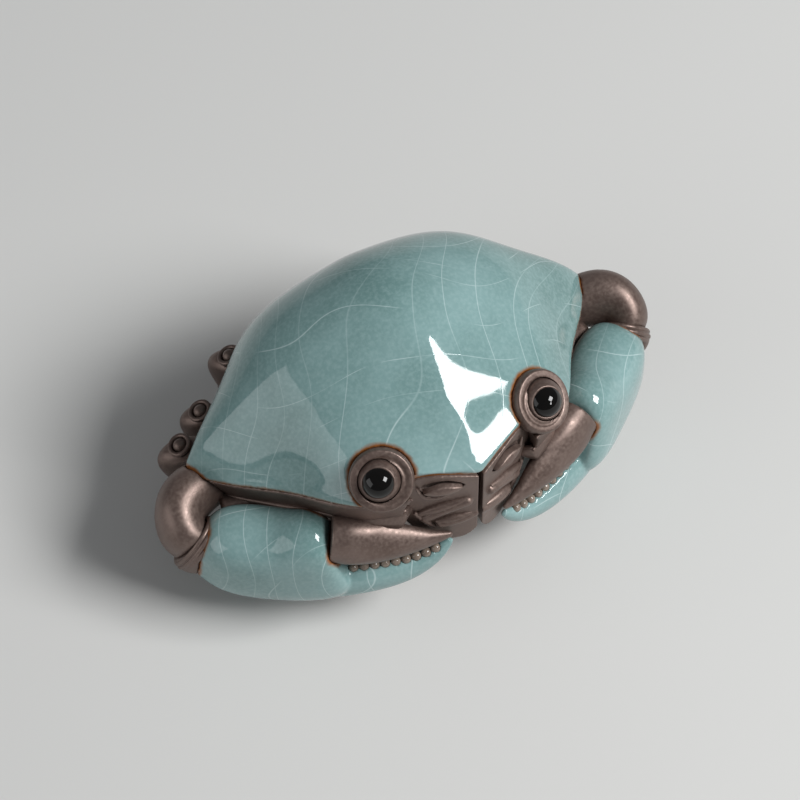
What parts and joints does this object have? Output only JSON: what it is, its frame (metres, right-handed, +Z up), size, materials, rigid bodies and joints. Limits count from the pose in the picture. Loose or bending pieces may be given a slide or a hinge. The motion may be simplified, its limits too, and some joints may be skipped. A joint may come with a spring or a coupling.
{
  "type": "crab figurine",
  "caption": "Small ceramic crab with a crackle-glazed back and claws, bare clay legs and face, and eyeballs that turn in their sockets.",
  "frame": {"origin": "middle of the flat foot under the body", "axes": "the crab faces -Y, +X is its own left, +Z is up"},
  "size_m": [0.065, 0.0382, 0.036],
  "materials": {
    "celadon_glaze": "glossy crackle glaze",
    "brown_clay": "bare fired clay with a satin sheen",
    "black_glaze": "glossy",
    "glazed_beads": "glossy"
  },
  "bodies": {
    "crab": {"body": "brown_clay", "carapace": "celadon_glaze", "left_antennule": "brown_clay", "left_arm": "brown_clay", "left_eye_socket": "brown_clay", "left_jaw": "brown_clay", "left_knee_1": "brown_clay", "left_knee_2": "brown_clay", "left_knee_3": "brown_clay", "left_leg_1": "brown_clay", "left_leg_2": "brown_clay", "left_leg_3": "brown_clay", "left_palm": "celadon_glaze", "left_teeth": "glazed_beads", "left_upper_finger": "brown_clay", "left_wrist": "brown_clay", "right_antennule": "brown_clay", "right_arm": "brown_clay", "right_eye_socket": "brown_clay", "right_jaw": "brown_clay", "right_knee_1": "brown_clay", "right_knee_2": "brown_clay", "right_knee_3": "brown_clay", "right_leg_1": "brown_clay", "right_leg_2": "brown_clay", "right_leg_3": "brown_clay", "right_palm": "celadon_glaze", "right_teeth": "glazed_beads", "right_upper_finger": "brown_clay", "right_wrist": "brown_clay"},
    "left_eye": {"left_eyeball": "brown_clay", "left_pupil": "black_glaze"},
    "right_eye": {"right_eyeball": "brown_clay", "right_pupil": "black_glaze"}
  },
  "joints": [
    {"name": "left_eye_turn", "type": "hinge", "parent": "crab", "child": "left_eye", "pos_m": [0.01058, -0.01403, 0.02694], "axis": [-0.3489, 0.6562, 0.6691], "range_deg": [-5, 43]},
    {"name": "right_eye_turn", "type": "hinge", "parent": "crab", "child": "right_eye", "pos_m": [-0.01058, -0.01403, 0.02694], "axis": [0.3489, 0.6562, 0.6691], "range_deg": [-19, 29]}
  ]
}
